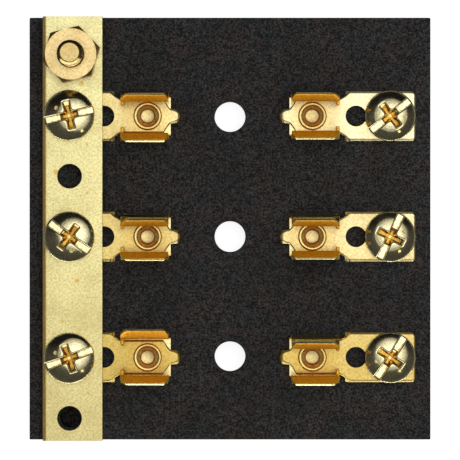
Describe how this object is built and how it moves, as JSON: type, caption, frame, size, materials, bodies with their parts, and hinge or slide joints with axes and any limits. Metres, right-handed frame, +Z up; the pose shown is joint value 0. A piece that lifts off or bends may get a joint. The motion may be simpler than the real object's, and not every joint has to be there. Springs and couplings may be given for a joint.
{
  "type": "fuse terminal block",
  "caption": "Black fibre board with brass spring clips for glass tube fuses in rows, a brass bus bar with a feed stud along one side and screw terminals along the other.",
  "frame": {"origin": "middle of the board's back face", "axes": "+X from the bus bar side to the wire side, +Y towards the end with the feed stud, +Z up out of the board"},
  "size_m": [0.0636, 0.0668, 0.0149],
  "materials": {
    "black_fibre": "dull fibre board with a fine mottled grain",
    "bar_brass": "flat rolled brass, lightly worn",
    "strip_brass": "stamped brass, bright",
    "spring_brass": "folded spring brass, bright",
    "rivet_brass": "rolled over brass rivet",
    "screw_brass": "polished plated screw",
    "nut_brass": "turned brass"
  },
  "bodies": {
    "block": {"base_board": "black_fibre", "bus_bar": "bar_brass", "feed_stud": "screw_brass", "stud_spacer": "nut_brass", "bus_terminal_1": "strip_brass", "bus_terminal_2": "strip_brass", "bus_terminal_3": "strip_brass", "bus_clip_1": "spring_brass", "bus_clip_2": "spring_brass", "bus_clip_3": "spring_brass", "bus_rivet_1": "rivet_brass", "bus_rivet_2": "rivet_brass", "bus_rivet_3": "rivet_brass", "wire_terminal_1": "strip_brass", "wire_terminal_2": "strip_brass", "wire_terminal_3": "strip_brass", "wire_clip_1": "spring_brass", "wire_clip_2": "spring_brass", "wire_clip_3": "spring_brass", "wire_rivet_1": "rivet_brass", "wire_rivet_2": "rivet_brass", "wire_rivet_3": "rivet_brass"},
    "feed_nut": {"feed_nut": "nut_brass"},
    "bus_screw_1": {"bus_screw_1": "screw_brass"},
    "bus_screw_2": {"bus_screw_2": "screw_brass"},
    "bus_screw_3": {"bus_screw_3": "screw_brass"},
    "wire_screw_1": {"wire_screw_1": "screw_brass"},
    "wire_screw_2": {"wire_screw_2": "screw_brass"},
    "wire_screw_3": {"wire_screw_3": "screw_brass"}
  },
  "joints": [
    {"name": "bus_screw_1_turn", "type": "hinge", "parent": "block", "child": "bus_screw_1", "pos_m": [-0.02525, 0.01777, 0.0077], "axis": [0, 0, 1], "range_deg": [0, 1170]},
    {"name": "bus_screw_2_turn", "type": "hinge", "parent": "block", "child": "bus_screw_2", "pos_m": [-0.02525, -0.00128, 0.0077], "axis": [0, 0, 1], "range_deg": [0, 1170]},
    {"name": "bus_screw_3_turn", "type": "hinge", "parent": "block", "child": "bus_screw_3", "pos_m": [-0.02525, -0.02032, 0.0077], "axis": [0, 0, 1], "range_deg": [0, 1170]},
    {"name": "wire_screw_1_turn", "type": "hinge", "parent": "block", "child": "wire_screw_1", "pos_m": [0.02525, 0.01777, 0.0061], "axis": [0, 0, 1], "range_deg": [0, 1170]},
    {"name": "wire_screw_2_turn", "type": "hinge", "parent": "block", "child": "wire_screw_2", "pos_m": [0.02525, -0.00128, 0.0061], "axis": [0, 0, 1], "range_deg": [0, 1170]},
    {"name": "wire_screw_3_turn", "type": "hinge", "parent": "block", "child": "wire_screw_3", "pos_m": [0.02525, -0.02032, 0.0061], "axis": [0, 0, 1], "range_deg": [0, 1170]},
    {"name": "feed_nut_turn", "type": "hinge", "parent": "block", "child": "feed_nut", "pos_m": [-0.0249, 0.0273, 0.0077], "axis": [0, 0, 1], "range_deg": [0, 2070]}
  ]
}
